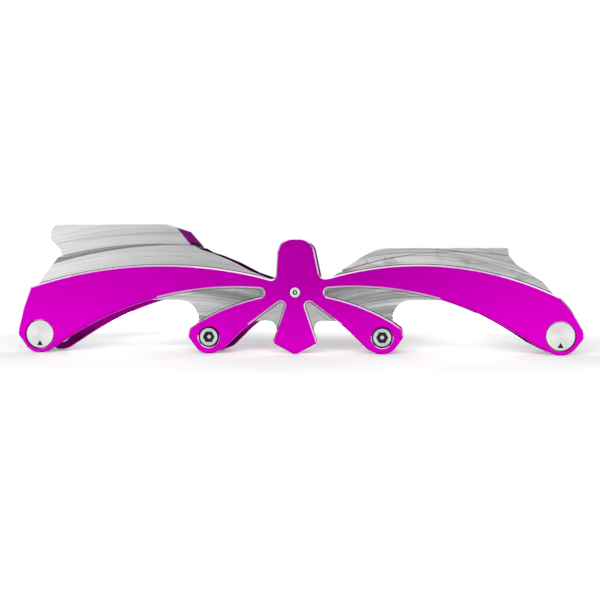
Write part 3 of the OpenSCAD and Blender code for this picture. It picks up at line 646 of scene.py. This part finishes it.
# Sockets and marks: black walls, painted shade in a socket and the fill of a mark on a disc, and in the
# middle of a socket's floor a bright drill point in a black ring of painted shade
sunkSet = {"floor": 0.9, "floorWithinMm": 1.8, "floorNearMm": 0.05}
bright, black = range(2)


def darken(bm, axleMm, withinMm, betweenMm, floors=True):  # paints black what is sunk under the face, or only its walls: painted shade in a socket, the fill of a mark
    for face in bm.faces:
        middle = face.calc_center_median()
        sunk = fromAxle(middle, axleMm) < withinMm and betweenMm[0] < abs(middle.y) / mm < betweenMm[1]
        if sunk and (floors or abs(face.normal.y) < sunkSet["floor"]):
            face.material_index = black


def drillPoint(bm, axleMm, floorMm, insetMm, depthMm):  # a bright cone in the middle of a socket's floor, in a black ring of painted shade
    def onFloor(face):
        middle = face.calc_center_median()
        level = abs(abs(middle.y) / mm - floorMm) < sunkSet["floorNearMm"]
        within = fromAxle(middle, axleMm) < sunkSet["floorWithinMm"]
        return level and within and abs(face.normal.y) > meshSet["flat"]

    inner = bmesh.ops.dissolve_faces(bm, faces=[face for face in bm.faces if onFloor(face)])["region"]
    for face in inner:
        face.material_index = black
    bmesh.ops.inset_region(bm, faces=inner, thickness=insetMm * mm)
    for face in inner:
        face.material_index = bright
    bmesh.ops.poke(bm, faces=inner, offset=-depthMm * mm)


# Rocker axles: faced discs with a bevelled rim and a filled index mark on both sides, and their clamp screws,
# whose black sockets are painted shade
rockerSet = {
    "ends": {"rear": (-121.5, 8.8), "front": (121.5, 8.8)}, "colour": "#FAFAFB", "roughness": 0.34,
    "faceMm": 18.75, "rimMm": 0.3, "discOverMm": 10, "mark": (6.5, (18.3, 18.7)), "dropMm": 1.0,
    "screwFaceMm": 18.65, "headOverMm": 6, "socket": (2.4, (17.0, 18.6)), "thread": (3.5, 14.5),
}
for end, (x, z) in rockerSet["ends"].items():
    steel = latheTurned("steel, faced on a lathe, " + end, rockerSet["colour"], rockerSet["roughness"],
                        (x, z))
    for part in ("axle", "collar", "screw"):
        node = end + "_rocker_" + part
        bm = cadCopy(node)
        if part == "screw":
            screwAt = (x, z - rockerSet["dropMm"])
            # Painted shade: the socket's walls and floor are black
            darken(bm, screwAt, *rockerSet["socket"])
            chamferRim(bm, flatAcross(1, rockerSet["screwFaceMm"]), rockerSet["rimMm"], bright,
                       overMm=rockerSet["headOverMm"])
            cutThread(bm, screwAt, *rockerSet["thread"], steel)
        else:
            darken(bm, (x, z), *rockerSet["mark"])
            chamferRim(bm, flatAcross(1, rockerSet["faceMm"]), rockerSet["rimMm"], bright,
                       overMm=rockerSet["discOverMm"])
        keepPiece(bm, node, [steel, blackOxideAndShade])

# Middle axles: plated heads with a black rim and a black hexagon socket, both painted shade
middleSet = {
    "ends": {"rear": (-40.5, 7.8), "front": (40.5, 7.8)}, "colour": "#E2E3E5", "roughness": 0.3,
    "faceMm": 18.75, "rimMm": 0.5, "headOverMm": 6, "socketRimMm": 0.45, "socket": (2.4, (17.0, 18.7)),
    "floorMm": 17.65, "point": (1.35, 0.3), "thread": (5.6, 16.9),
}
for end, (x, z) in middleSet["ends"].items():
    steel = latheTurned("steel, turned and plated, " + end, middleSet["colour"], middleSet["roughness"],
                        (x, z))
    for part in ("axle", "screw"):
        node = end + "_mid_" + part
        bm = cadCopy(node)
        # Painted shade: black socket walls, a black ring round the drill point, and black chamfers round the
        # head and socket
        darken(bm, (x, z), *middleSet["socket"], floors=False)
        drillPoint(bm, (x, z), middleSet["floorMm"], *middleSet["point"])
        headFace = flatAcross(1, middleSet["faceMm"])
        chamferRim(bm, headFace, middleSet["rimMm"], black, overMm=middleSet["headOverMm"])
        chamferRim(bm, headFace, middleSet["socketRimMm"], black, underMm=middleSet["headOverMm"])
        if part == "screw":
            cutThread(bm, (x, z), *middleSet["thread"], steel)
        keepPiece(bm, node, [steel, blackOxideAndShade])

# Hub screws: small bright heads with a hexagon socket, its black walls and floor ring painted shade
hubSet = {
    "place": (0, 28.6), "colour": "#FAFAFB", "roughness": 0.24, "faceMm": 18.75, "rimMm": 0.3,
    "headOverMm": 4, "socketRimMm": 0.12, "socket": (1.1, (17.5, 18.6)), "floorMm": 17.95,
    "point": (0.6, 0.2),
}
hubSteel = latheTurned("steel, turned hub screw", hubSet["colour"], hubSet["roughness"], hubSet["place"])
for node in ("right_hub_screw", "left_hub_screw"):
    bm = cadCopy(node)
    headFace = flatAcross(1, hubSet["faceMm"])
    chamferRim(bm, headFace, hubSet["rimMm"], bright, overMm=hubSet["headOverMm"])
    chamferRim(bm, headFace, hubSet["socketRimMm"], bright, underMm=hubSet["headOverMm"])
    # Painted shade: black socket walls and a black ring round the drill point
    darken(bm, hubSet["place"], *hubSet["socket"], floors=False)
    drillPoint(bm, hubSet["place"], hubSet["floorMm"], *hubSet["point"])
    keepPiece(bm, node, [hubSteel, blackOxideAndShade])

# Pieces that keep their CAD shape
asCad = {"hub_brace": drawnTube, "rear_block_screws": blackOxideAndShade, "front_block_screws": blackOxideAndShade}
for node, finish in asCad.items():
    shown = frame["nodes"][node]
    shown.data.materials.clear()
    shown.data.materials.append(finish)
print("axles and screws are finished")
